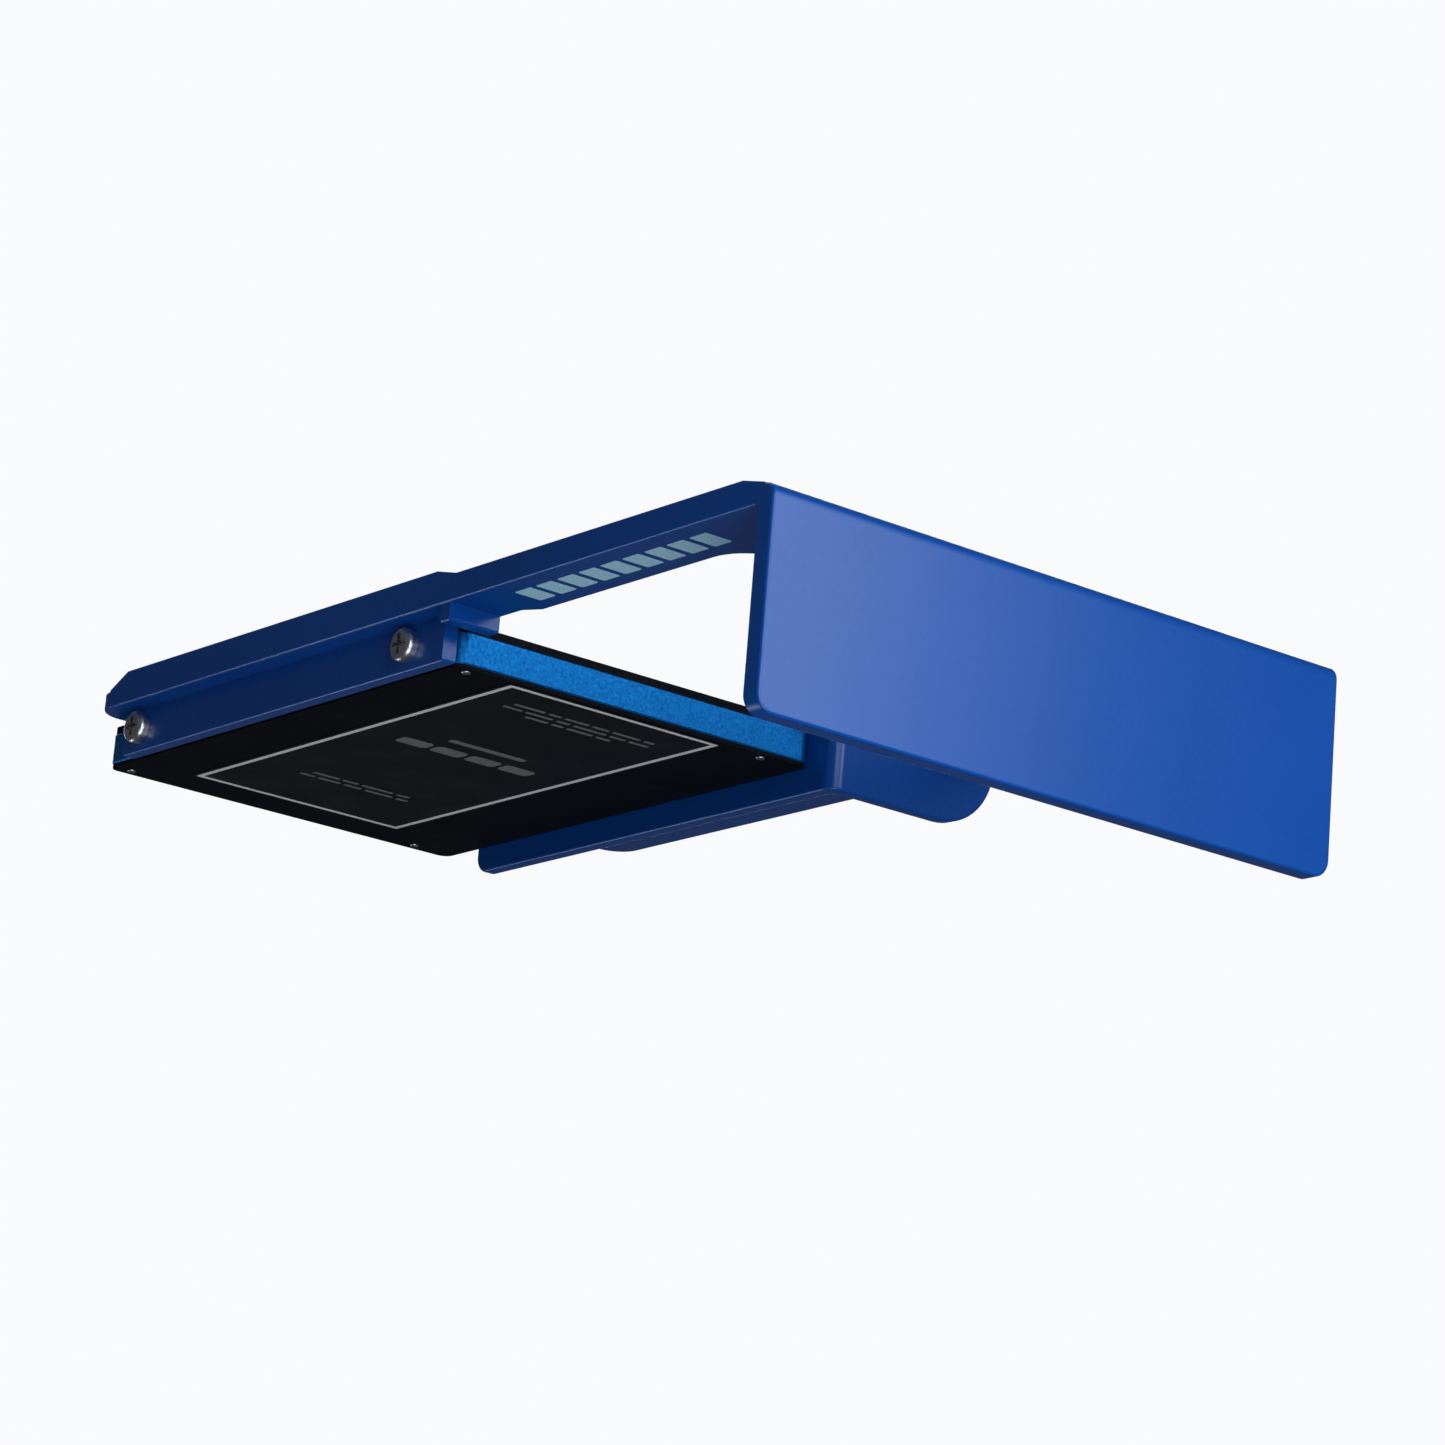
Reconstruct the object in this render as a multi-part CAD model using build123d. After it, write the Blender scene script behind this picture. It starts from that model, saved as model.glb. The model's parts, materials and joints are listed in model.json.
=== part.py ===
from build123d import *
import os

# Slide-in drive holder: a blue metal sled that hangs in a drive bay of a computer, with the
# 2.5-inch solid-state drive it carries screwed into a cup on its left side.
# Frame: +Z up as the sled hangs in its bay, +Y into the bay, +X to the right seen from the
# front.  Origin: on the centre line, where the front of the fascia meets the top of the plate.

# ---- sled: driving dimensions (mm) ----
FASCIA_WIDTH = 111.0
FASCIA_HEIGHT = 33.5
FASCIA_THICK = 3.6
SHEET = 3.0                # thickness of the top plate
WALL = 2.5                 # thickness of the cup walls, the lip and the tab
SLED_LENGTH = 179.0
BEND_OUTER = 2.2           # bend between fascia and plate, outside
BEND_INNER = 0.9
FASCIA_CORNER = 3.0        # lower corners of the fascia
REAR_CORNER = 5.0          # rear corners of the plate
EDGE_ROUND = 0.5           # small round on the exposed edges
RAIL_WIDTH = 11.5          # side rails beside the window
WINDOW_FRONT = 19.5        # front edge of the window, measured from the fascia's face
WINDOW_CORNER = 8.0
SMALL_CORNER = 3.0         # the window's other corners
WINDOW_BACK = 76.5         # rear edge on the right, where the plate runs on to the tab
WINDOW_STEP = 72.0         # where the left rail narrows to the lip
WEB_FRONT = 99.0           # where the plate closes again over the drive
FLANGE_FRONT = 77.5        # front plane of the left lip and the right tab
LIP_REACH = 9.8            # how far the lip runs in from the left edge
LIP_DROP = 2.8             # below the plate
CUP_DROP_RIGHT = 11.7      # right cup wall and tab, below the plate
CUP_DROP_LEFT = 7.5
TAB_CORNER = 11.0          # large round on the tab's lower outer corner
WALL_BEND = 2.2            # round where the right wall turns into the tab
RUNNER_WIDTH = 5.0         # runners along both edges, on top of the plate
RUNNER_HEIGHT = 1.2
RUNNER_RAMP = 5.0          # they rise from where the bend ends
RIB_HEIGHT = 1.2           # guide ribs on the runners, that ride in the bay's slots
RIB_START = 76.0
RIB_RAMP = 5.0
OVERLAP = 1.5              # how far joined features run into the plate
PAST = 1.0                 # how far a cutter runs past what it cuts
TOUCH = 0.01               # edges nearer than this count as touching

# ---- drive: the 2.5-inch, 7 mm form factor ----
DRIVE_WIDTH = 69.85
DRIVE_LENGTH = 100.0
DRIVE_HEIGHT = 7.0
DRIVE_CENTRE_X = -14.2     # off centre, so that its plug lines up with the bay's socket
DRIVE_FRONT = 83.0
DRIVE_GAP = 0.5            # between the plate and the drive
SIDE_GAP = 0.25            # between each cup wall and the drive
BASE_THICK = 1.2           # dark base cover, against the plate
COVER_THICK = 0.6          # dark cover plate, on the label side
FRAME_WALL = 1.6
DRIVE_CORNER = 2.0
SIDE_HOLE_FROM_PLUG = (14.0, 90.6)
SIDE_HOLE_HEIGHT = 3.0     # above the drive's base
BASE_HOLE_INSET = 4.065    # from the drive's long sides
BASE_HOLE = 1.25           # tapped M3
BOSS = 8.0                 # frame material round each side and base hole
CORNER_BOSS = 6.5
COVER_INSET = 0.15         # the covers stop this far inside the frame's edge
SEAM_CHAMFER = 0.25        # on the frame's outer edges, beside the covers
CORNER_SCREW_INSET = 3.4   # small screws, from the drive's sides
CORNER_SCREW_BACK = 2.2    # and from its ends
OFFSET_SCREW_INSET = 8.4   # the cover plate's screws on the right stand further in
LABEL_X = (-38.2, 3.9)
LABEL_Y = (84.0, 174.0)
LABEL_THICK = 0.1
LABEL_CORNER = 0.8

# ---- fasteners ----
M3_RADIUS = 1.5
M3_HEAD_RADIUS = 2.75
M3_HEAD_HEIGHT = 1.9
M3_LENGTH = 5.0
WALL_HOLE = 1.58           # running clearance round the shank
FRAME_HOLE = 1.55
HEAD_CLEARANCE = 0.05
SMALL_SCREW_RADIUS = 0.5
SMALL_HEAD_RADIUS = 0.8
SMALL_HEAD_HEIGHT = 0.5
SMALL_SCREW_LENGTH = 2.2
HOLE_PLAY = 0.03
HEAD_PLAY = 0.15
RECESS_DEPTH = 0.65        # of a cross recess, as a share of the head's height
RECESS_REACH = 0.6         # half the length of its slots, as a share of the head's radius
RECESS_SLOT = 0.13         # half their width, likewise
HOLE_SPARE = 0.2           # each blind hole runs on past its screw's tip
BASE_SCREW_SINK = 0.6      # heads let into the base cover
COVER_SCREW_SINK = 0.35    # and into the thinner cover plate

# ---- circuit board and what is on it ----
BOARD_THICK = 1.0
BOARD_TOP_BELOW_BASE = 1.5     # from the base cover's inner face to the board
BOARD_WIDTH = 64.0
BOARD_FRONT = 99.5
BOARD_BACK = 163.0
NECK_WIDTH = 52.0
NECK_BACK = 175.0
BOARD_LUG = 6.0                # frame lugs that the board is screwed to
BOARD_SCREW_X = 28.5           # from the drive's centre line
BOARD_SCREW_INSET = 4.0        # from the wide part's front and back
BOARD_SCREW_LENGTH = 2.2
CONTROLLER = (17.0, 17.0, 1.2)
MEMORY = (10.0, 13.0, 1.0)
FLASH = (12.0, 18.0, 1.1)
FLASH_COLUMNS = (-24.0, -8.0, 8.0, 24.0)
FLASH_Y = 118.0
CONTROLLER_Y = 146.0
MEMORY_X = 17.0
REGULATOR = (4.0, 4.0, 0.9)
INDUCTOR = (4.0, 4.0, 1.6)
CAPACITOR = (1.6, 0.8, 0.8)
CRYSTAL = (3.2, 2.5, 0.8)
CRYSTAL_X = 15.0
CRYSTAL_Y = 166.0
REGULATOR_X = (-22.0, -16.0)
REGULATOR_Y = 150.0
INDUCTOR_X = (-22.0, -15.0, 15.0)
INDUCTOR_Y = 158.0
CAPACITOR_COLUMN_X = -11.0     # a column beside the controller
COLUMN_CAPACITORS = 7
COLUMN_STEP = 2.0
CAPACITOR_ROW_Y = 168.0        # and a row in front of the plug
ROW_CAPACITORS = 10
ROW_STEP = 3.0
PAD_PLAY = 0.05

# ---- SATA plug ----
PLUG_OFFSET = -4.8             # its centre, from the drive's centre line
SIGNAL_WIDTH = 10.41
POWER_WIDTH = 20.57
TONGUE_GAP = 2.41
TONGUE_THICK = 1.3
TONGUE_DEPTH = 5.2
PLUG_BODY_DEPTH = 2.6
PLUG_HEIGHT = 4.4
PLUG_ARM = 1.6
PLUG_ARM_SHORT = 1.0           # the arms end this far inside the drive's back
MOUTH_PLAY = 0.5               # room in the frame beside the plug
MOUTH_DEPTH = 5.2
KEY_WIDTH = 0.7
TONGUE_INSET = 0.2             # each tongue is this much narrower at both ends
KEY_HEIGHT = 0.9
CONTACT_PITCH = 1.27
CONTACT_WIDTH = 0.8
CONTACT_LENGTH = 4.4
CONTACT_THICK = 0.12
SIGNAL_CONTACTS = 7
POWER_CONTACTS = 15

# ---- worked out from the above ----
HALF = FASCIA_WIDTH / 2
PLATE_UNDER = -SHEET
DRIVE_TOP = PLATE_UNDER - DRIVE_GAP
FRAME_TOP = DRIVE_TOP - BASE_THICK
DRIVE_BOTTOM = DRIVE_TOP - DRIVE_HEIGHT
FRAME_BOTTOM = DRIVE_BOTTOM + COVER_THICK
DRIVE_LEFT = DRIVE_CENTRE_X - DRIVE_WIDTH / 2
DRIVE_RIGHT = DRIVE_CENTRE_X + DRIVE_WIDTH / 2
DRIVE_BACK = DRIVE_FRONT + DRIVE_LENGTH
LEFT_WALL_IN = DRIVE_LEFT - SIDE_GAP
RIGHT_WALL_IN = DRIVE_RIGHT + SIDE_GAP
SIDE_HOLE_Y = [DRIVE_BACK - distance for distance in SIDE_HOLE_FROM_PLUG]
SIDE_HOLE_Z = DRIVE_TOP - SIDE_HOLE_HEIGHT
SHANK_IN_FRAME = M3_LENGTH - WALL - SIDE_GAP
BOARD_TOP = FRAME_TOP - BOARD_TOP_BELOW_BASE
BOARD_UNDER = BOARD_TOP - BOARD_THICK
BOARD_SCREW_Y = (BOARD_FRONT + BOARD_SCREW_INSET, BOARD_BACK - BOARD_SCREW_INSET)
PLUG_X = DRIVE_CENTRE_X + PLUG_OFFSET
PLUG_SPAN = POWER_WIDTH + TONGUE_GAP + SIGNAL_WIDTH
TONGUE_LOW = (FRAME_TOP + FRAME_BOTTOM) / 2 - TONGUE_THICK / 2
POWER_LEFT = PLUG_X - PLUG_SPAN / 2
SIGNAL_LEFT = POWER_LEFT + POWER_WIDTH + TONGUE_GAP


# ---- small helpers ----
def block(x0, x1, y0, y1, z0, z1):
    """A box from its two corners."""
    centre = ((x0 + x1) / 2, (y0 + y1) / 2, (z0 + z1) / 2)
    return Pos(*centre) * Box(abs(x1 - x0), abs(y1 - y0), abs(z1 - z0))


def chip(x, y, z0, size, upward=True):
    """A box of the given size, standing on z0 or hanging from it; x is from the drive's centre."""
    width, length, height = size
    z1 = z0 + height if upward else z0 - height
    middle = DRIVE_CENTRE_X + x
    return block(middle - width / 2, middle + width / 2, y - length / 2, y + length / 2, z0, z1)


def post(x, y, z0, z1, radius):
    """A round bar along Z."""
    return Pos(x, y, (z0 + z1) / 2) * Cylinder(radius, abs(z1 - z0))


def cross_bar(x0, x1, y, z, radius):
    """A round bar along X."""
    return Pos((x0 + x1) / 2, y, z) * Rot(0, 90, 0) * Cylinder(radius, abs(x1 - x0))


def centred(count, step):
    """Evenly spaced offsets about zero."""
    return [step * (number - (count - 1) / 2) for number in range(count)]


def rounded_slab(x0, x1, y0, y1, z0, z1, radius):
    """A flat plate with four round corners."""
    outline = RectangleRounded(x1 - x0, y1 - y0, radius)
    return Pos((x0 + x1) / 2, (y0 + y1) / 2, z0) * extrude(outline, z1 - z0)


def rounded_outline(corners):
    """A closed outline from (x, y, radius) corners; a radius of 0 stays sharp."""
    points = [(x, y) for x, y, radius in corners]
    face = make_face(Polyline(*points, points[0]))
    for x, y, radius in corners:
        if radius:
            face = fillet(face.vertices().sort_by_distance((x, y, 0))[0], radius)
    return face


def across_x(face, x0, x1):
    """Extrudes an outline drawn in (Y, Z) from x0 to x1."""
    side = Plane(origin=(x0, 0, 0), x_dir=(0, 1, 0), z_dir=(1, 0, 0))
    return extrude(side * face, x1 - x0)


def as_group(solids):
    """Separate solids kept together in one node."""
    return Compound(children=list(solids))


# ---- the sled ----
def fascia_and_plate():
    """The bent sheet: fascia down, plate back, with every cut edge rounded."""
    profile = rounded_outline([
        (0, 0, BEND_OUTER), (SLED_LENGTH, 0, 0), (SLED_LENGTH, -SHEET, 0),
        (FASCIA_THICK, -SHEET, BEND_INNER), (FASCIA_THICK, -FASCIA_HEIGHT, 0),
        (0, -FASCIA_HEIGHT, 0)])
    sheet = across_x(profile, -HALF, HALF)

    def is_lower_corner(edge):
        across_the_fascia = abs(edge.length - FASCIA_THICK) < TOUCH
        return edge.center().Z < TOUCH - FASCIA_HEIGHT and across_the_fascia

    def is_rear_corner(edge):
        return edge.center().Y > SLED_LENGTH - TOUCH and abs(edge.length - SHEET) < TOUCH

    def is_rim(edge):
        across_the_sheet = any(
            abs(edge.length - thickness) < TOUCH for thickness in (SHEET, FASCIA_THICK))
        along_a_bend = abs(edge.length - FASCIA_WIDTH) < TOUCH
        return not across_the_sheet and not along_a_bend

    sheet = fillet(sheet.edges().filter_by(is_lower_corner), FASCIA_CORNER)
    sheet = fillet(sheet.edges().filter_by(is_rear_corner), REAR_CORNER)
    return fillet(sheet.edges().filter_by(is_rim), EDGE_ROUND)


def window():
    """The cutter for the opening behind the fascia; it runs on over the front of the drive."""
    right = HALF - RAIL_WIDTH
    step = RIGHT_WALL_IN - WALL
    outline = rounded_outline([
        (-right, WINDOW_FRONT, WINDOW_CORNER), (right, WINDOW_FRONT, WINDOW_CORNER),
        (right, WINDOW_BACK, SMALL_CORNER), (step, WINDOW_BACK, SMALL_CORNER),
        (step, WEB_FRONT, SMALL_CORNER), (LIP_REACH - HALF, WEB_FRONT, SMALL_CORNER),
        (LIP_REACH - HALF, WINDOW_STEP, 0), (-right, WINDOW_STEP - SMALL_CORNER, 0)])
    return Pos(0, 0, -2 * SHEET) * extrude(outline, 3 * SHEET)


def right_wall_and_tab():
    """The tall right wall of the cup, turned outward at its front into the rounded tab."""
    x0 = RIGHT_WALL_IN
    x1 = x0 + WALL
    x2 = HALF - EDGE_ROUND
    y0 = FLANGE_FRONT
    y1 = y0 + WALL
    y2 = SLED_LENGTH - REAR_CORNER
    plan = rounded_outline([
        (x0, y0, WALL_BEND), (x2, y0, 0), (x2, y1, 0), (x1, y1, BEND_INNER),
        (x1, y2, 0), (x0, y2, 0)])
    bottom = PLATE_UNDER - CUP_DROP_RIGHT
    height = CUP_DROP_RIGHT + OVERLAP
    wall = Pos(0, 0, bottom) * extrude(plan, height)
    wall = fillet(wall.edges().filter_by(Axis.Y).sort_by_distance((x2, y0, bottom))[0], TAB_CORNER)
    wall = fillet(wall.edges().filter_by(Axis.X).sort_by_distance((x0, y2, bottom))[0], SMALL_CORNER)

    def is_rim(edge):
        box = edge.bounding_box()
        across_the_wall = abs(edge.length - WALL) < TOUCH
        along_a_bend = box.size.Z > height - TOUCH
        at_the_top = box.min.Z > bottom + height - TOUCH
        return not (across_the_wall or along_a_bend or at_the_top)

    return fillet(wall.edges().filter_by(is_rim), EDGE_ROUND)


def left_wall():
    """The short left wall of the cup."""
    front = DRIVE_FRONT
    back = SLED_LENGTH - REAR_CORNER
    bottom = PLATE_UNDER - CUP_DROP_LEFT
    wall = block(LEFT_WALL_IN - WALL, LEFT_WALL_IN, front, back, bottom, PLATE_UNDER + OVERLAP)
    low = wall.edges().filter_by(lambda edge: edge.center().Z < bottom + TOUCH)
    return fillet(low, EDGE_ROUND)


def lip():
    """The small down-turned lip across the end of the left rail."""
    x0 = EDGE_ROUND - HALF
    x1 = LIP_REACH - HALF
    bottom = PLATE_UNDER - LIP_DROP
    piece = block(x0, x1, FLANGE_FRONT, FLANGE_FRONT + WALL, bottom, PLATE_UNDER + OVERLAP)
    low = piece.edges().filter_by(lambda edge: edge.center().Z < bottom + TOUCH)
    return fillet(low, EDGE_ROUND)


def runner(side):
    """The runner along one edge, and the rib on it, ramped at both ends; side is -1 or 1."""
    back = SLED_LENGTH - REAR_CORNER
    rib = RUNNER_HEIGHT + RIB_HEIGHT
    profile = make_face(Polyline(
        (BEND_OUTER, -OVERLAP), (BEND_OUTER, 0), (BEND_OUTER + RUNNER_RAMP, RUNNER_HEIGHT),
        (RIB_START, RUNNER_HEIGHT), (RIB_START + RIB_RAMP, rib), (back - RIB_RAMP, rib),
        (back, 0), (back, -OVERLAP), (BEND_OUTER, -OVERLAP)))
    inner = HALF - RUNNER_WIDTH
    return across_x(profile, min(side * inner, side * HALF), max(side * inner, side * HALF))


def sled_body():
    body = fascia_and_plate() - window()
    body = body + right_wall_and_tab() + left_wall() + lip()
    body = body + runner(-1) + runner(1)
    for y in SIDE_HOLE_Y:
        body -= cross_bar(LEFT_WALL_IN - WALL - PAST, LEFT_WALL_IN + PAST,
                          y, SIDE_HOLE_Z, WALL_HOLE)
        body -= cross_bar(RIGHT_WALL_IN - PAST, RIGHT_WALL_IN + WALL + PAST,
                          y, SIDE_HOLE_Z, WALL_HOLE)
    return body


def drive_screw(side, y):
    """An M3 pan-head screw through a cup wall into the drive, with its cross recess."""
    face = LEFT_WALL_IN - WALL if side < 0 else RIGHT_WALL_IN + WALL
    seat = face + side * HEAD_CLEARANCE
    crown = seat + side * M3_HEAD_HEIGHT
    tip = seat - side * M3_LENGTH
    head = cross_bar(seat, crown, y, SIDE_HOLE_Z, M3_HEAD_RADIUS)
    rim = head.edges().filter_by(GeomType.CIRCLE).sort_by_distance((crown, y, SIDE_HOLE_Z))[0]
    screw = fillet(rim, M3_HEAD_HEIGHT / 2) + cross_bar(tip, seat, y, SIDE_HOLE_Z, M3_RADIUS)
    floor = crown - side * M3_HEAD_HEIGHT * RECESS_DEPTH
    reach = M3_HEAD_RADIUS * RECESS_REACH
    slot = M3_HEAD_RADIUS * RECESS_SLOT
    screw -= block(floor, crown, y - reach, y + reach, SIDE_HOLE_Z - slot, SIDE_HOLE_Z + slot)
    screw -= block(floor, crown, y - slot, y + slot, SIDE_HOLE_Z - reach, SIDE_HOLE_Z + reach)
    return screw


# ---- the drive's case ----
def end_rows():
    return (DRIVE_FRONT + CORNER_SCREW_BACK, DRIVE_BACK - CORNER_SCREW_BACK)


def cover_screw_spots():
    columns = (DRIVE_LEFT + CORNER_SCREW_INSET, DRIVE_RIGHT - OFFSET_SCREW_INSET)
    return [(x, y) for x in columns for y in end_rows()]


def base_screw_spots():
    columns = (DRIVE_LEFT + CORNER_SCREW_INSET, DRIVE_RIGHT - CORNER_SCREW_INSET)
    return [(x, y) for x in columns for y in end_rows()]


def base_hole_spots():
    columns = (DRIVE_LEFT + BASE_HOLE_INSET, DRIVE_RIGHT - BASE_HOLE_INSET)
    return [(x, y) for x in columns for y in SIDE_HOLE_Y]


def board_screw_spots():
    columns = (DRIVE_CENTRE_X - BOARD_SCREW_X, DRIVE_CENTRE_X + BOARD_SCREW_X)
    return [(x, y) for x in columns for y in BOARD_SCREW_Y]


def drive_frame():
    """The blue case ring, with bosses for every screw and a mouth for the plug."""
    outer = rounded_slab(DRIVE_LEFT, DRIVE_RIGHT, DRIVE_FRONT, DRIVE_BACK,
                         FRAME_BOTTOM, FRAME_TOP, DRIVE_CORNER)
    rims = outer.edges().filter_by(
        lambda edge: edge.bounding_box().size.Z < TOUCH)
    outer = chamfer(rims, SEAM_CHAMFER)
    cavity = block(DRIVE_LEFT + FRAME_WALL, DRIVE_RIGHT - FRAME_WALL, DRIVE_FRONT + FRAME_WALL,
                   DRIVE_BACK - FRAME_WALL, FRAME_BOTTOM - PAST, FRAME_TOP + PAST)
    bosses = []
    for y in SIDE_HOLE_Y:
        bosses.append(block(DRIVE_LEFT, DRIVE_LEFT + BOSS, y - BOSS / 2, y + BOSS / 2,
                            FRAME_BOTTOM, FRAME_TOP))
        bosses.append(block(DRIVE_RIGHT - BOSS, DRIVE_RIGHT, y - BOSS / 2, y + BOSS / 2,
                            FRAME_BOTTOM, FRAME_TOP))
    half = CORNER_BOSS / 2
    for x, y in cover_screw_spots() + base_screw_spots():
        bosses.append(block(x - half, x + half, y - half, y + half, FRAME_BOTTOM, FRAME_TOP))
    lug = BOARD_LUG / 2
    for x, y in board_screw_spots():
        side = -1 if x < DRIVE_CENTRE_X else 1
        in_the_wall = DRIVE_CENTRE_X + side * (DRIVE_WIDTH - FRAME_WALL) / 2
        bosses.append(block(in_the_wall, x - side * lug, y - lug, y + lug, BOARD_TOP, FRAME_TOP))
    frame = outer - cavity
    for boss in bosses:
        frame += boss & outer
    mouth = PLUG_SPAN / 2 + PLUG_ARM + MOUTH_PLAY
    frame -= block(PLUG_X - mouth, PLUG_X + mouth, DRIVE_BACK - MOUTH_DEPTH, DRIVE_BACK + PAST,
                   FRAME_BOTTOM - PAST, FRAME_TOP + PAST)
    depth = SHANK_IN_FRAME + HOLE_SPARE
    for y in SIDE_HOLE_Y:
        frame -= cross_bar(DRIVE_LEFT - PAST, DRIVE_LEFT + depth, y, SIDE_HOLE_Z, FRAME_HOLE)
        frame -= cross_bar(DRIVE_RIGHT - depth, DRIVE_RIGHT + PAST, y, SIDE_HOLE_Z, FRAME_HOLE)
    hole = SMALL_SCREW_RADIUS + HOLE_PLAY
    for x, y in cover_screw_spots():
        end = DRIVE_BOTTOM + COVER_SCREW_SINK + SMALL_SCREW_LENGTH + HOLE_SPARE
        frame -= post(x, y, FRAME_BOTTOM - PAST, end, hole)
    for x, y in base_screw_spots():
        end = DRIVE_TOP - BASE_SCREW_SINK - SMALL_SCREW_LENGTH - HOLE_SPARE
        frame -= post(x, y, end, FRAME_TOP + PAST, hole)
    for x, y in board_screw_spots():
        end = BOARD_UNDER + BOARD_SCREW_LENGTH + HOLE_SPARE
        frame -= post(x, y, BOARD_TOP - PAST, end, hole)
    for x, y in base_hole_spots():
        frame -= post(x, y, FRAME_TOP - SIDE_HOLE_HEIGHT, FRAME_TOP + PAST, BASE_HOLE)
    return frame


def case_cover(z0, z1, screw_spots, plain_holes, outer_face, sink):
    """A flat cover, stopping just inside the frame's outer edge; its screws' heads are let in
    from outer_face by sink."""
    inset = COVER_INSET
    cover = rounded_slab(DRIVE_LEFT + inset, DRIVE_RIGHT - inset, DRIVE_FRONT + inset,
                         DRIVE_BACK - inset, z0, z1, DRIVE_CORNER - inset)
    for x, y in screw_spots:
        cover -= post(x, y, z0 - PAST, z1 + PAST, SMALL_SCREW_RADIUS + HOLE_PLAY)
        cover -= post(x, y, outer_face - sink, outer_face + sink, SMALL_HEAD_RADIUS + HEAD_PLAY)
    for x, y in plain_holes:
        cover -= post(x, y, z0 - PAST, z1 + PAST, BASE_HOLE)
    return cover


def small_screw(x, y, seat, length, facing):
    """A small pan-head screw: its head stands off the seat towards facing (+1 up, -1 down)."""
    crown = seat + facing * SMALL_HEAD_HEIGHT
    head = post(x, y, seat, crown, SMALL_HEAD_RADIUS)
    rim = head.edges().filter_by(GeomType.CIRCLE).sort_by_distance((x, y, crown))[0]
    screw = fillet(rim, SMALL_HEAD_HEIGHT / 2)
    screw += post(x, y, seat - facing * length, seat, SMALL_SCREW_RADIUS)
    floor = crown - facing * SMALL_HEAD_HEIGHT * RECESS_DEPTH
    reach = SMALL_HEAD_RADIUS * RECESS_REACH
    slot = SMALL_HEAD_RADIUS * RECESS_SLOT
    screw -= block(x - reach, x + reach, y - slot, y + slot, floor, crown)
    screw -= block(x - slot, x + slot, y - reach, y + reach, floor, crown)
    return screw


def drive_label():
    """The plain printed film on the cover plate."""
    return rounded_slab(*LABEL_X, *LABEL_Y, DRIVE_BOTTOM - LABEL_THICK, DRIVE_BOTTOM, LABEL_CORNER)


# ---- the circuit board ----
def circuit_board():
    wide = BOARD_WIDTH / 2
    neck = NECK_WIDTH / 2
    board = block(DRIVE_CENTRE_X - wide, DRIVE_CENTRE_X + wide, BOARD_FRONT, BOARD_BACK,
                  BOARD_UNDER, BOARD_TOP)
    board += block(DRIVE_CENTRE_X - neck, DRIVE_CENTRE_X + neck, BOARD_BACK, NECK_BACK,
                   BOARD_UNDER, BOARD_TOP)
    for x, y in board_screw_spots():
        board -= post(x, y, BOARD_UNDER - PAST, BOARD_TOP + PAST, SMALL_SCREW_RADIUS + HOLE_PLAY)
    return board


def flash_chips():
    below = [chip(x, FLASH_Y, BOARD_UNDER, FLASH, upward=False) for x in FLASH_COLUMNS]
    above = [chip(x, FLASH_Y, BOARD_TOP, FLASH) for x in FLASH_COLUMNS]
    return as_group(below + above)


def controller_pad():
    """Soft pad that carries the controller's heat to the cover plate."""
    width, length, height = CONTROLLER
    thick = BOARD_UNDER - height - FRAME_BOTTOM - 2 * PAD_PLAY
    return chip(0, CONTROLLER_Y, FRAME_BOTTOM + PAD_PLAY, (width, length, thick))


def flash_pads():
    """Soft pads between the flash chips and the two covers."""
    spread = FLASH_COLUMNS[-1] - FLASH_COLUMNS[0] + FLASH[0]
    low = BOARD_UNDER - FLASH[2] - FRAME_BOTTOM - 2 * PAD_PLAY
    high = FRAME_TOP - BOARD_TOP - FLASH[2] - 2 * PAD_PLAY
    lower = chip(0, FLASH_Y, FRAME_BOTTOM + PAD_PLAY, (spread, FLASH[1], low))
    upper = chip(0, FLASH_Y, FRAME_TOP - PAD_PLAY, (spread, FLASH[1], high), upward=False)
    return as_group([lower, upper])


def capacitors():
    """A column of small capacitors beside the controller, and a row in front of the plug."""
    column = [chip(CAPACITOR_COLUMN_X, CONTROLLER_Y + offset, BOARD_UNDER, CAPACITOR, upward=False)
              for offset in centred(COLUMN_CAPACITORS, COLUMN_STEP)]
    row = [chip(offset, CAPACITOR_ROW_Y, BOARD_UNDER, CAPACITOR, upward=False)
           for offset in centred(ROW_CAPACITORS, ROW_STEP)]
    return as_group(column + row)


def inductors():
    return as_group([chip(x, INDUCTOR_Y, BOARD_UNDER, INDUCTOR, upward=False) for x in INDUCTOR_X])


def regulators():
    return as_group([chip(x, REGULATOR_Y, BOARD_UNDER, REGULATOR, upward=False)
                     for x in REGULATOR_X])


# ---- the plug ----
def plug_housing():
    """The plug's black moulding: base, two keyed tongues and the guide arms."""
    left = PLUG_X - PLUG_SPAN / 2
    right = PLUG_X + PLUG_SPAN / 2
    root = DRIVE_BACK - TONGUE_DEPTH
    back = root - PLUG_BODY_DEPTH
    middle = (FRAME_TOP + FRAME_BOTTOM) / 2
    low = middle - PLUG_HEIGHT / 2
    high = middle + PLUG_HEIGHT / 2
    housing = block(left - PLUG_ARM, right + PLUG_ARM, back, root, low, high)
    for x0 in (left - PLUG_ARM, right):
        housing += block(x0, x0 + PLUG_ARM, root, DRIVE_BACK - PLUG_ARM_SHORT, low, high)
    for x0, width, key_on_left in (
            (POWER_LEFT, POWER_WIDTH, False), (SIGNAL_LEFT, SIGNAL_WIDTH, True)):
        x1 = x0 + TONGUE_INSET
        x2 = x0 + width - TONGUE_INSET
        housing += block(x1, x2, root, DRIVE_BACK, TONGUE_LOW, TONGUE_LOW + TONGUE_THICK)
        foot = x1 if key_on_left else x2 - KEY_WIDTH
        housing += block(foot, foot + KEY_WIDTH, root, DRIVE_BACK,
                         TONGUE_LOW, TONGUE_LOW + TONGUE_THICK + KEY_HEIGHT)
    return housing


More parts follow.
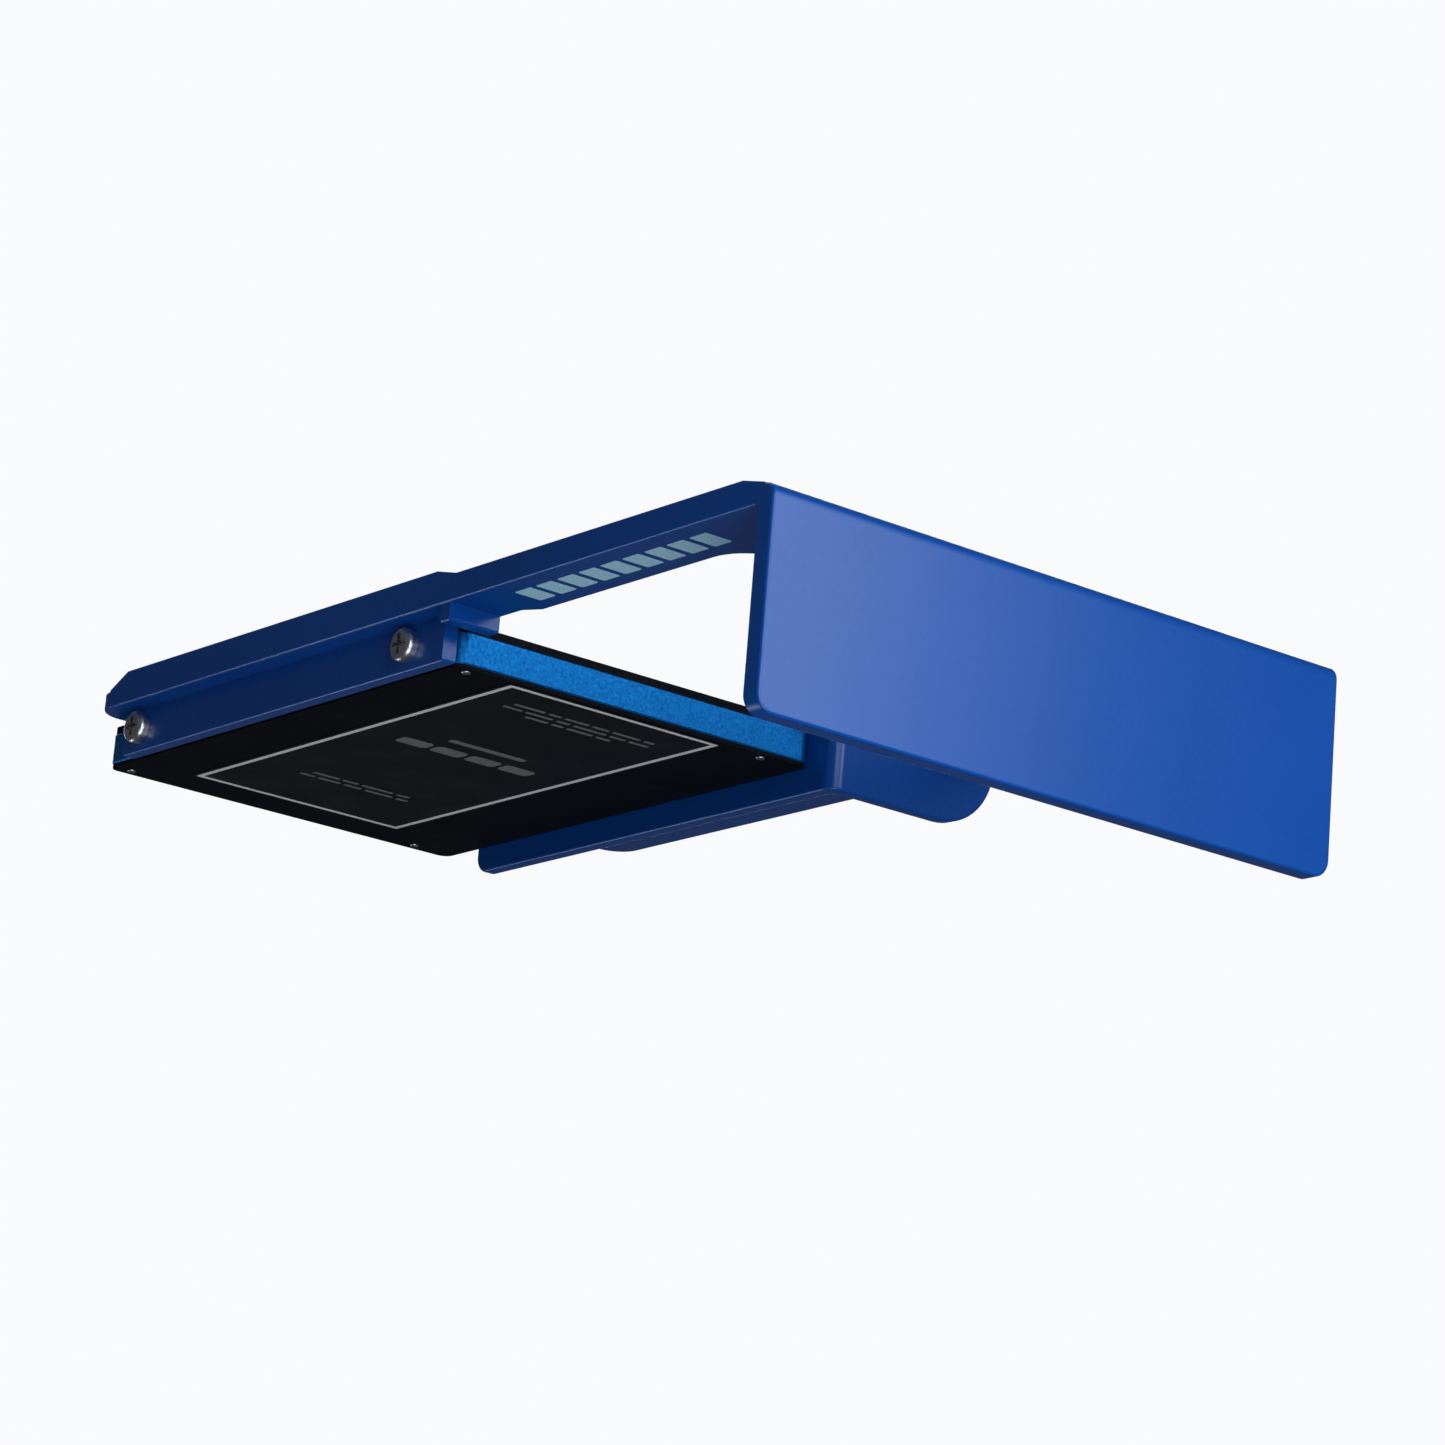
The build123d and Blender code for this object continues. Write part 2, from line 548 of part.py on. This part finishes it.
def contacts(tongue_left, tongue_width, count):
    """Gold contact strips lying on a tongue."""
    middle = tongue_left + tongue_width / 2
    face = TONGUE_LOW + TONGUE_THICK
    half = CONTACT_WIDTH / 2
    root = DRIVE_BACK - TONGUE_DEPTH
    return as_group([
        block(middle + offset - half, middle + offset + half,
              root, root + CONTACT_LENGTH, face, face + CONTACT_THICK)
        for offset in centred(count, CONTACT_PITCH)])


# ---- every node ----
def build_nodes():
    nodes = {
        "sled_body": sled_body(),
        "drive_frame": drive_frame(),
        "drive_base_cover": case_cover(FRAME_TOP, DRIVE_TOP, base_screw_spots(),
                                       base_hole_spots(), DRIVE_TOP, BASE_SCREW_SINK),
        "drive_cover_plate": case_cover(DRIVE_BOTTOM, FRAME_BOTTOM, cover_screw_spots(), [],
                                        DRIVE_BOTTOM, COVER_SCREW_SINK),
        "drive_label": drive_label(),
        "cover_screws": as_group([
            small_screw(x, y, DRIVE_BOTTOM + COVER_SCREW_SINK, SMALL_SCREW_LENGTH, -1)
            for x, y in cover_screw_spots()]),
        "base_screws": as_group([
            small_screw(x, y, DRIVE_TOP - BASE_SCREW_SINK, SMALL_SCREW_LENGTH, 1)
            for x, y in base_screw_spots()]),
        "board_screws": as_group([
            small_screw(x, y, BOARD_UNDER, BOARD_SCREW_LENGTH, -1)
            for x, y in board_screw_spots()]),
        "circuit_board": circuit_board(),
        "controller_chip": chip(0, CONTROLLER_Y, BOARD_UNDER, CONTROLLER, upward=False),
        "memory_chip": chip(MEMORY_X, CONTROLLER_Y, BOARD_UNDER, MEMORY, upward=False),
        "flash_chips": flash_chips(),
        "controller_pad": controller_pad(),
        "flash_pads": flash_pads(),
        "capacitors": capacitors(),
        "inductors": inductors(),
        "regulators": regulators(),
        "clock_crystal": chip(CRYSTAL_X, CRYSTAL_Y, BOARD_UNDER, CRYSTAL, upward=False),
        "plug_housing": plug_housing(),
        "power_contacts": contacts(POWER_LEFT, POWER_WIDTH, POWER_CONTACTS),
        "signal_contacts": contacts(SIGNAL_LEFT, SIGNAL_WIDTH, SIGNAL_CONTACTS),
    }
    for side, name in ((-1, "left"), (1, "right")):
        for y, place in zip(SIDE_HOLE_Y, ("rear", "front")):
            nodes[f"drive_screw_{name}_{place}"] = drive_screw(side, y)
    return nodes


def main():
    os.makedirs("parts", exist_ok=True)
    for name, shape in build_nodes().items():
        export_step(shape, f"parts/{name}.step")


main()
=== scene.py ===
import json
import math

import bmesh
import bpy
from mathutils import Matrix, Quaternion, Vector


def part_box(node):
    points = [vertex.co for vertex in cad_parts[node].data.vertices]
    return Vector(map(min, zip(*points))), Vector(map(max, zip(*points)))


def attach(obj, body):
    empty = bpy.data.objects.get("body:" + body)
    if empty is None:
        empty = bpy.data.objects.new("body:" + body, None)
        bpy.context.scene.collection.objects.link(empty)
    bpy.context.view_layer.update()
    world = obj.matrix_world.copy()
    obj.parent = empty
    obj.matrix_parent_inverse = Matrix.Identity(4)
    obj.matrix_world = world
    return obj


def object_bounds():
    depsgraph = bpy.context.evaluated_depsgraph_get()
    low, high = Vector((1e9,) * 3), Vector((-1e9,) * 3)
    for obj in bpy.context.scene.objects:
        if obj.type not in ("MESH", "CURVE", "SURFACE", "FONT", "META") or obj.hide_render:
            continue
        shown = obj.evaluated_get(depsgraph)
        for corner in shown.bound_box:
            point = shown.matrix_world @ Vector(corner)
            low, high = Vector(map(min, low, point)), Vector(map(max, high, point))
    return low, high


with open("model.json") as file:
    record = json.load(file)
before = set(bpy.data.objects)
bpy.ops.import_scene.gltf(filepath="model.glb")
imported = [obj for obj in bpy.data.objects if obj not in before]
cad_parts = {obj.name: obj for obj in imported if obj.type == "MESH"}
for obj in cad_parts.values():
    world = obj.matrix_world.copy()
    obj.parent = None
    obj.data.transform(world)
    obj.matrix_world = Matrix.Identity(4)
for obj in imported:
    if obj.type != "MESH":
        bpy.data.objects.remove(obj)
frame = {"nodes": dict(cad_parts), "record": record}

CAD_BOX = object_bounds()
NODES = frame["nodes"]
MM = 0.001

# ---- where things are, from the frame ----
SLED_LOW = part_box("sled_body")[0]
LABEL_LOW, LABEL_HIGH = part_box("drive_label")
SHEET = 3.0 * MM                      # the plate's thickness, whose top is z = 0
OBJECT_CENTRE = Vector([(low + high) / 2 for low, high in zip(*CAD_BOX)])

# ---- the camera's place round the object ----
CAMERA_AZIMUTH = -36.94
CAMERA_ELEVATION = -15.01
CAMERA_DISTANCE = 0.789
CAMERA_ROLL = 4.67
CAMERA_LENS = 124.0
CAMERA_CLIP = (0.01, 30.0)
AIM = OBJECT_CENTRE + Vector((0.0057, -0.0043, 0.00975))

FLOOR_Z = -0.85
FLOOR_SIZE = 14.0
BACKDROP = (0.95, 0.955, 0.965, 1)    # the pale colour that the camera sees all round
FLOOR_GLOW = 0.6                      # the floor shines by itself, to look as pale as the backdrop
SKYLIGHT = (0.80, 0.90, 1.0, 1)       # what the surroundings give as light
SKYLIGHT_STRENGTH = 0.07


# ================= materials =================
class Finish:
    """A Principled material and the few textures that feed it; sizes are in metres."""

    def __init__(self, name, **fixed):
        self.material = bpy.data.materials.new(name)
        self.material.use_nodes = True
        self.tree = self.material.node_tree
        self.shader = self.tree.nodes["Principled BSDF"]
        self.place = self.tree.nodes.new("ShaderNodeTexCoord").outputs["Object"]
        for socket, value in fixed.items():
            self.shader.inputs[socket.replace("_", " ")].default_value = value

    def node(self, kind, **settings):
        made = self.tree.nodes.new(kind)
        for name, value in settings.items():
            setattr(made, name, value)
        return made

    def link(self, source, target):
        self.tree.links.new(source, target)

    def stretched(self, stretch):
        mapping = self.node("ShaderNodeMapping")
        mapping.inputs["Scale"].default_value = stretch
        self.link(self.place, mapping.inputs["Vector"])
        return mapping.outputs["Vector"]

    def noise(self, size, detail=2.0, rough=0.5, stretch=(1, 1, 1)):
        """Noise whose blotches are about size across."""
        made = self.node("ShaderNodeTexNoise")
        made.inputs["Scale"].default_value = 1.0 / size
        made.inputs["Detail"].default_value = detail
        made.inputs["Roughness"].default_value = rough
        self.link(self.stretched(stretch), made.inputs["Vector"])
        return made.outputs["Fac"]

    def cell_edges(self, size, stretch):
        """Voronoi cells about size across; gives the distance to the nearest border."""
        made = self.node("ShaderNodeTexVoronoi", feature="DISTANCE_TO_EDGE")
        made.inputs["Scale"].default_value = 1.0 / size
        self.link(self.stretched(stretch), made.inputs["Vector"])
        return made.outputs["Distance"]

    def ramp(self, source, low, high, start=0.35, end=0.65):
        """Maps source onto a blend from low to high, which are both numbers or both colours."""
        made = self.node("ShaderNodeValToRGB")
        first, last = made.color_ramp.elements
        for element, position, value in ((first, start, low), (last, end, high)):
            element.position = position
            shade = (value,) * 3 if isinstance(value, (int, float)) else value
            element.color = (*shade, 1.0)
        self.link(source, made.inputs["Fac"])
        return made.outputs["Color"]

    def blend(self, factor, under, over):
        """Lays over onto under by factor; each of the three is a socket or a fixed value."""
        made = self.node("ShaderNodeMix", data_type="RGBA")
        for socket, value in (("Factor", factor), ("A", under), ("B", over)):
            entry = [found for found in made.inputs if found.name == socket and found.enabled][0]
            if isinstance(value, bpy.types.NodeSocket):
                self.link(value, entry)
            elif socket == "Factor":
                entry.default_value = value
            else:
                entry.default_value = (*value, 1.0)
        return [found for found in made.outputs if found.enabled][0]

    def edge_mask(self, radius):
        """White on sharp outer edges, from how far a rounded normal departs from the real one."""
        rounded = self.node("ShaderNodeBevel", samples=6)
        rounded.inputs["Radius"].default_value = radius
        true = self.node("ShaderNodeNewGeometry")
        along = self.node("ShaderNodeVectorMath", operation="DOT_PRODUCT")
        self.link(rounded.outputs["Normal"], along.inputs[0])
        self.link(true.outputs["Normal"], along.inputs[1])
        return self.ramp(along.outputs["Value"], 1.0, 0.0, 0.80, 0.97)

    def colour(self, source):
        self.link(source, self.shader.inputs["Base Color"])

    def roughness(self, source):
        self.link(source, self.shader.inputs["Roughness"])

    def relief(self, *layers):
        """Stacks bumps; each layer is (height source, strength, depth in metres)."""
        normal = None
        for source, strength, depth in layers:
            made = self.node("ShaderNodeBump")
            made.inputs["Strength"].default_value = strength
            made.inputs["Distance"].default_value = depth
            self.link(source, made.inputs["Height"])
            if normal:
                self.link(normal, made.inputs["Normal"])
            normal = made.outputs["Normal"]
        self.link(normal, self.shader.inputs["Normal"])


def sled_paint():
    """Satin royal-blue powder coat: soft orange peel, fine grain, and a painted highlight that
    makes the sharp edges paler.
    """
    finish = Finish("sled_paint", Specular_IOR_Level=0.36, Coat_Weight=0.10, Coat_Roughness=0.25)
    body = finish.ramp(finish.noise(0.045, 3), (0.0012, 0.054, 0.280), (0.0018, 0.062, 0.315))
    mottled = finish.blend(finish.ramp(finish.noise(0.0009, 3), 0.0, 0.35), body,
                           (0.0025, 0.070, 0.345))
    # painted highlight: the sharp edges are blended towards a paler blue, standing in for the light
    # their roundings catch
    edge_highlight = finish.blend(finish.ramp(finish.edge_mask(0.00045), 0.0, 0.30, 0.0, 1.0), mottled,
                        (0.03, 0.105, 0.37))
    finish.colour(edge_highlight)
    handled = finish.blend(0.3, finish.ramp(finish.noise(0.02, 3), 0.23, 0.26, 0.25, 0.75),
                           finish.ramp(finish.noise(0.0012, 2), 0.21, 0.29, 0.2, 0.8))
    finish.roughness(handled)
    finish.relief((finish.noise(0.0016, 2), 0.10, 0.00006),
                  (finish.noise(0.00035, 2), 0.16, 0.00002))
    return finish.material


def drive_anodised():
    """Bead-blasted azure anodising on aluminium: a bright, fine mottle over metal."""
    finish = Finish("drive_anodised", Metallic=0.82, Specular_IOR_Level=0.5)
    fine = finish.noise(0.00055, 3, 0.6)
    coarse = finish.noise(0.0016, 2)
    body = finish.ramp(fine, (0.0, 0.10, 0.35), (0.002, 0.215, 0.61), 0.32, 0.68)
    finish.colour(finish.blend(finish.ramp(coarse, 0.0, 0.4), body, (0.0, 0.15, 0.47)))
    finish.roughness(finish.ramp(fine, 0.52, 0.40))
    finish.relief((finish.noise(0.0005, 3, 0.6), 0.35, 0.00004),
                  (finish.noise(0.00018, 1), 0.25, 0.00002))
    return finish.material


def drive_cover():
    """Matte black anodised sheet with a faint rolled grain."""
    finish = Finish("drive_cover", Specular_IOR_Level=0.06)
    grain = finish.noise(0.0006, 3, 0.6, (1, 0.12, 1))
    finish.colour(finish.ramp(grain, (0.0025, 0.0032, 0.0055), (0.0045, 0.0055, 0.009)))
    finish.roughness(finish.ramp(finish.noise(0.012, 3), 0.52, 0.64))
    finish.relief((grain, 0.12, 0.00002), (finish.noise(0.00022, 2), 0.22, 0.00002))
    return finish.material


def label_film():
    """Satin black printed film, very slightly uneven."""
    finish = Finish("label_film", Specular_IOR_Level=0.10)
    finish.colour(finish.ramp(finish.noise(0.0010, 3),
                              (0.003, 0.004, 0.0068), (0.005, 0.0062, 0.010)))
    finish.roughness(finish.ramp(finish.noise(0.008, 3), 0.34, 0.44))
    finish.relief((finish.noise(0.006, 2), 0.12, 0.00008), (finish.noise(0.0003, 2), 0.15, 0.00001))
    return finish.material


def printed_ink(name, thin, full, size):
    """Screen-printed ink, a little uneven in cover."""
    finish = Finish(name, Specular_IOR_Level=0.4)
    finish.colour(finish.ramp(finish.noise(size, 4, 0.65), thin, full, 0.30, 0.62))
    finish.roughness(finish.ramp(finish.noise(size * 2, 2), 0.42, 0.56))
    finish.relief((finish.noise(size / 2, 2), 0.2, 0.00001))
    return finish.material


def screw_steel():
    """Zinc-plated steel with fine turning marks and a cloudy plate."""
    finish = Finish("screw_steel", Metallic=1.0)
    cloud = finish.noise(0.0018, 3)
    marks = finish.noise(0.00025, 2, 0.5, (1, 1, 6))
    finish.colour(finish.ramp(cloud, (0.46, 0.47, 0.49), (0.66, 0.66, 0.66)))
    finish.roughness(finish.ramp(marks, 0.24, 0.38))
    finish.relief((marks, 0.18, 0.00002))
    return finish.material


def board_green():
    """Dark solder mask over copper tracks that show as a faint relief."""
    finish = Finish("board_green", Specular_IOR_Level=0.5, Coat_Weight=0.3, Coat_Roughness=0.2)
    tracks = finish.ramp(finish.cell_edges(0.0022, (1, 1, 0.01)), 1.0, 0.0, 0.03, 0.09)
    base = finish.ramp(finish.noise(0.004, 2), (0.006, 0.045, 0.028), (0.009, 0.060, 0.036))
    finish.colour(finish.blend(finish.ramp(tracks, 0.0, 0.6, 0, 1), base, (0.02, 0.11, 0.055)))
    finish.roughness(finish.ramp(finish.noise(0.002, 2), 0.32, 0.42))
    finish.relief((tracks, 0.5, 0.00003))
    return finish.material


def grained(name, dark, light, size, rough_low, rough_high, depth, **fixed):
    """A plain moulded or ceramic stuff with a fine grain."""
    finish = Finish(name, **fixed)
    grain = finish.noise(size, 3, 0.6)
    finish.colour(finish.ramp(grain, dark, light))
    finish.roughness(finish.ramp(finish.noise(size * 6, 2), rough_low, rough_high))
    finish.relief((grain, 0.3, depth))
    return finish.material


def make_materials():
    return {
        "sled_paint": sled_paint(),
        "drive_anodised": drive_anodised(),
        "drive_cover": drive_cover(),
        "label_film": label_film(),
        "screw_steel": screw_steel(),
        "board_green": board_green(),
        "chip_black": grained("chip_black", (0.011, 0.011, 0.012), (0.022, 0.022, 0.023),
                              0.0003, 0.50, 0.62, 0.00001),
        "pad_grey": grained("pad_grey", (0.30, 0.31, 0.34), (0.42, 0.43, 0.46),
                            0.0006, 0.70, 0.85, 0.00003),
        "plug_black": grained("plug_black", (0.010, 0.010, 0.011), (0.020, 0.020, 0.021),
                              0.0004, 0.42, 0.55, 0.00002),
        "contact_gold": grained("contact_gold", (0.78, 0.50, 0.16), (0.94, 0.66, 0.28),
                                0.0008, 0.20, 0.32, 0.000005, Metallic=1.0),
        "crystal_can": grained("crystal_can", (0.55, 0.55, 0.56), (0.70, 0.70, 0.70),
                               0.0008, 0.22, 0.34, 0.000005, Metallic=1.0),
        "capacitor_tan": grained("capacitor_tan", (0.20, 0.14, 0.09), (0.30, 0.22, 0.14),
                                 0.0003, 0.45, 0.60, 0.00001),
    }


# ================= printed marks =================
def new_piece(name, mesh, material):
    """A mesh piece that rides on the holder."""
    for face in mesh.faces:
        face.smooth = False
    data = bpy.data.meshes.new(name)
    mesh.to_mesh(data)
    mesh.free()
    piece = bpy.data.objects.new(name, data)
    bpy.context.scene.collection.objects.link(piece)
    data.materials.append(material)
    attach(piece, "holder")
    return piece


CORNER_STEPS = 6


def rounded_loop(x0, x1, y0, y1, radius):
    """Corner points of a round-cornered rectangle, anticlockwise."""
    points = []
    for cx, cy, start in ((x1 - radius, y1 - radius, 0), (x0 + radius, y1 - radius, 90),
                          (x0 + radius, y0 + radius, 180), (x1 - radius, y0 + radius, 270)):
        for step in range(CORNER_STEPS + 1):
            angle = math.radians(start + 90 * step / CORNER_STEPS)
            points.append((cx + radius * math.cos(angle), cy + radius * math.sin(angle)))
    return points


def add_slab(mesh, loop, z_face, thick):
    """A thin printed slab hanging below z_face."""
    top = [mesh.verts.new((x, y, z_face)) for x, y in loop]
    low = [mesh.verts.new((x, y, z_face - thick)) for x, y in loop]
    mesh.faces.new(top)
    mesh.faces.new(reversed(low))
    for index in range(len(loop)):
        after = (index + 1) % len(loop)
        mesh.faces.new((top[after], top[index], low[index], low[after]))


def add_border(mesh, outer, inner, z_face, thick):
    """A thin printed frame between two loops of the same number of points."""
    rows = [[mesh.verts.new((x, y, z)) for x, y in loop]
            for loop, z in ((outer, z_face), (inner, z_face),
                            (inner, z_face - thick), (outer, z_face - thick))]
    count = len(outer)
    for index in range(count):
        after = (index + 1) % count
        for row in range(4):
            following = rows[(row + 1) % 4]
            mesh.faces.new((rows[row][index], rows[row][after], following[after], following[index]))
    bmesh.ops.recalc_face_normals(mesh, faces=mesh.faces)


INK_THICK = 0.03 * MM
RAIL_MARK_X = (SLED_LOW[0] + 3.6 * MM, SLED_LOW[0] + 8.5 * MM)
RAIL_MARK_START = 19.6 * MM
RAIL_MARK_COUNT = 9
RAIL_MARK_LENGTH = 3.9 * MM
RAIL_MARK_GAP = 1.35 * MM
RAIL_MARK_CORNER = 0.35 * MM


def rail_marks(material):
    """An even row of plain, equal bars along the left rail's underside."""
    mesh = bmesh.new()
    for index in range(RAIL_MARK_COUNT):
        start = RAIL_MARK_START + index * (RAIL_MARK_LENGTH + RAIL_MARK_GAP)
        loop = rounded_loop(*RAIL_MARK_X, start, start + RAIL_MARK_LENGTH, RAIL_MARK_CORNER)
        add_slab(mesh, loop, -SHEET, INK_THICK)
    return new_piece("rail_marks", mesh, material)


OUTLINE_INSET = 0.6 * MM
OUTLINE_WIDTH = 0.85 * MM
OUTLINE_CORNER = 0.25 * MM


def label_outline(material):
    """The thin frame printed round the label."""
    mesh = bmesh.new()
    loops = []
    for inset in (OUTLINE_INSET, OUTLINE_INSET + OUTLINE_WIDTH):
        loops.append(rounded_loop(LABEL_LOW[0] + inset, LABEL_HIGH[0] - inset,
                                  LABEL_LOW[1] + inset, LABEL_HIGH[1] - inset,
                                  OUTLINE_CORNER))
    add_border(mesh, *loops, LABEL_LOW[2], INK_THICK)
    return new_piece("label_outline", mesh, material)


# each row: distance from the label's front, height, and the lengths of its plain dashes (mm)
SMALL_ROWS = (
    (8.4, 0.75, (6.0, 2.4, 4.6, 3.2, 5.4, 2.0)),
    (10.6, 0.75, (3.6, 5.2, 2.6, 6.4, 3.0, 3.8)),
    (12.8, 0.75, (4.4, 2.2, 5.0, 2.8)),
    (70.0, 0.75, (5.2, 3.0, 6.2, 2.6)),
    (72.2, 0.75, (2.8, 4.4, 3.4, 5.6, 2.2)),
)
LARGE_ROWS = ((34.0, 1.5, (15.0,)), (39.0, 3.4, (6.0, 6.0, 6.0, 6.0)))
DASH_GAP = 0.8 * MM
DASH_ROUNDING = 0.28        # of a dash's height


def label_rows(name, rows, material):
    """Rows of plain dashes, centred across the label, where small print would be."""
    mesh = bmesh.new()
    middle = (LABEL_LOW[0] + LABEL_HIGH[0]) / 2
    for from_front, height, dashes in rows:
        span = sum(dashes) * MM + DASH_GAP * (len(dashes) - 1)
        x = middle - span / 2
        y = LABEL_LOW[1] + from_front * MM
        for dash in dashes:
            radius = DASH_ROUNDING * height * MM
            loop = rounded_loop(x, x + dash * MM, y, y + height * MM, radius)
            add_slab(mesh, loop, LABEL_LOW[2], INK_THICK)
            x += dash * MM + DASH_GAP
    return new_piece(name, mesh, material)


# ================= the studio =================
def softbox(name, azimuth, elevation, distance, size, power, tint):
    """An area light facing the object; azimuth 0 is in front and 90 on the right."""
    data = bpy.data.lights.new(name, "AREA")
    data.shape = "RECTANGLE"
    data.size, data.size_y = size
    data.energy = power
    data.color = tint
    lamp = bpy.data.objects.new(name, data)
    a, e = math.radians(azimuth), math.radians(elevation)
    away = Vector((math.sin(a) * math.cos(e), -math.cos(a) * math.cos(e), math.sin(e)))
    lamp.location = OBJECT_CENTRE + away * distance
    lamp.rotation_euler = away.to_track_quat("Z", "Y").to_euler()
    lamp.visible_camera = False
    bpy.context.scene.collection.objects.link(lamp)


def make_world():
    """Pale all round to look at, but dimmer as a light, so the softboxes do the modelling."""
    world = bpy.data.worlds.new("studio")
    bpy.context.scene.world = world
    world.use_nodes = True
    tree = world.node_tree
    tree.nodes.clear()
    output = tree.nodes.new("ShaderNodeOutputWorld")
    seen = tree.nodes.new("ShaderNodeBackground")
    seen.inputs["Color"].default_value = BACKDROP
    light = tree.nodes.new("ShaderNodeBackground")
    light.inputs["Color"].default_value = SKYLIGHT
    light.inputs["Strength"].default_value = SKYLIGHT_STRENGTH
    path = tree.nodes.new("ShaderNodeLightPath")
    mix = tree.nodes.new("ShaderNodeMixShader")
    tree.links.new(path.outputs["Is Camera Ray"], mix.inputs[0])
    tree.links.new(light.outputs[0], mix.inputs[1])
    tree.links.new(seen.outputs[0], mix.inputs[2])
    tree.links.new(mix.outputs[0], output.inputs["Surface"])


def make_floor():
    """A plain pale floor well below the hanging holder; it lends the holder no light."""
    bpy.ops.mesh.primitive_plane_add(size=FLOOR_SIZE, location=(0, 0, FLOOR_Z))
    floor = bpy.context.object
    floor.name = "floor"
    finish = Finish("floor_paint", Roughness=0.8, Specular_IOR_Level=0.2,
                    Emission_Color=BACKDROP, Emission_Strength=FLOOR_GLOW)
    finish.colour(finish.ramp(finish.noise(0.6, 3), (0.70, 0.705, 0.71), (0.74, 0.74, 0.745)))
    floor.data.materials.append(finish.material)
    floor.visible_diffuse = False
    floor.visible_glossy = False


def make_camera():
    data = bpy.data.cameras.new("camera")
    data.lens = CAMERA_LENS
    data.clip_start, data.clip_end = CAMERA_CLIP
    camera = bpy.data.objects.new("camera", data)
    a, e = math.radians(CAMERA_AZIMUTH), math.radians(CAMERA_ELEVATION)
    away = Vector((math.sin(a) * math.cos(e), -math.cos(a) * math.cos(e), math.sin(e)))
    camera.location = OBJECT_CENTRE + away * CAMERA_DISTANCE
    camera.rotation_mode = "QUATERNION"
    level = (AIM - camera.location).to_track_quat("-Z", "Y")
    camera.rotation_quaternion = level @ Quaternion((0, 0, 1), math.radians(CAMERA_ROLL))
    bpy.context.scene.collection.objects.link(camera)
    bpy.context.scene.camera = camera


# name, azimuth, elevation, distance, size across and up, watts, tint
SOFTBOXES = (
    ("front", -14, 0, 0.45, (0.3, 0.3), 1.08, (0.94, 0.98, 1.0)),
    ("sheen", 22, 17, 0.55, (0.17, 0.5), 1.15, (0.84, 0.94, 1.0)),
    ("above", 178, 62, 1.3, (1.3, 1.3), 5, (1, 1, 1)),
    ("low", -25, -42, 0.8, (0.7, 0.4), 2.7, (0.9, 0.95, 1.0)),
    ("left", -95, 12, 1.8, (1.0, 1.0), 0.25, (1, 1, 1)),
    ("behind", 150, 25, 1.2, (1.0, 0.8), 8, (1, 1, 1)),
    ("rim", -160, -35, 0.9, (0.2, 0.2), 0.6, (0.9, 0.95, 1.0)),
)


def make_lights():
    for softbox_values in SOFTBOXES:
        softbox(*softbox_values)


# ================= put together =================
def main():
    materials = make_materials()
    for part in frame["record"]["subparts"]:
        node = NODES[part["node"]]
        node.data.materials.clear()
        node.data.materials.append(materials[part["material_slot"]])
    rail_ink = printed_ink("rail_ink", (0.36, 0.66, 0.86), (0.52, 0.84, 0.98), 0.0006)
    label_ink = printed_ink("label_ink", (0.74, 0.72, 0.71), (0.92, 0.90, 0.89), 0.0005)
    dim_ink = printed_ink("label_dim_ink", (0.12, 0.12, 0.125), (0.22, 0.22, 0.225), 0.0004)
    rail_marks(rail_ink)
    label_outline(label_ink)
    label_rows("label_small_rows", SMALL_ROWS, dim_ink)
    label_rows("label_large_rows", LARGE_ROWS, dim_ink)
    make_world()
    make_floor()
    make_camera()
    make_lights()
    scene = bpy.context.scene
    scene.view_settings.view_transform = "Standard"


main()
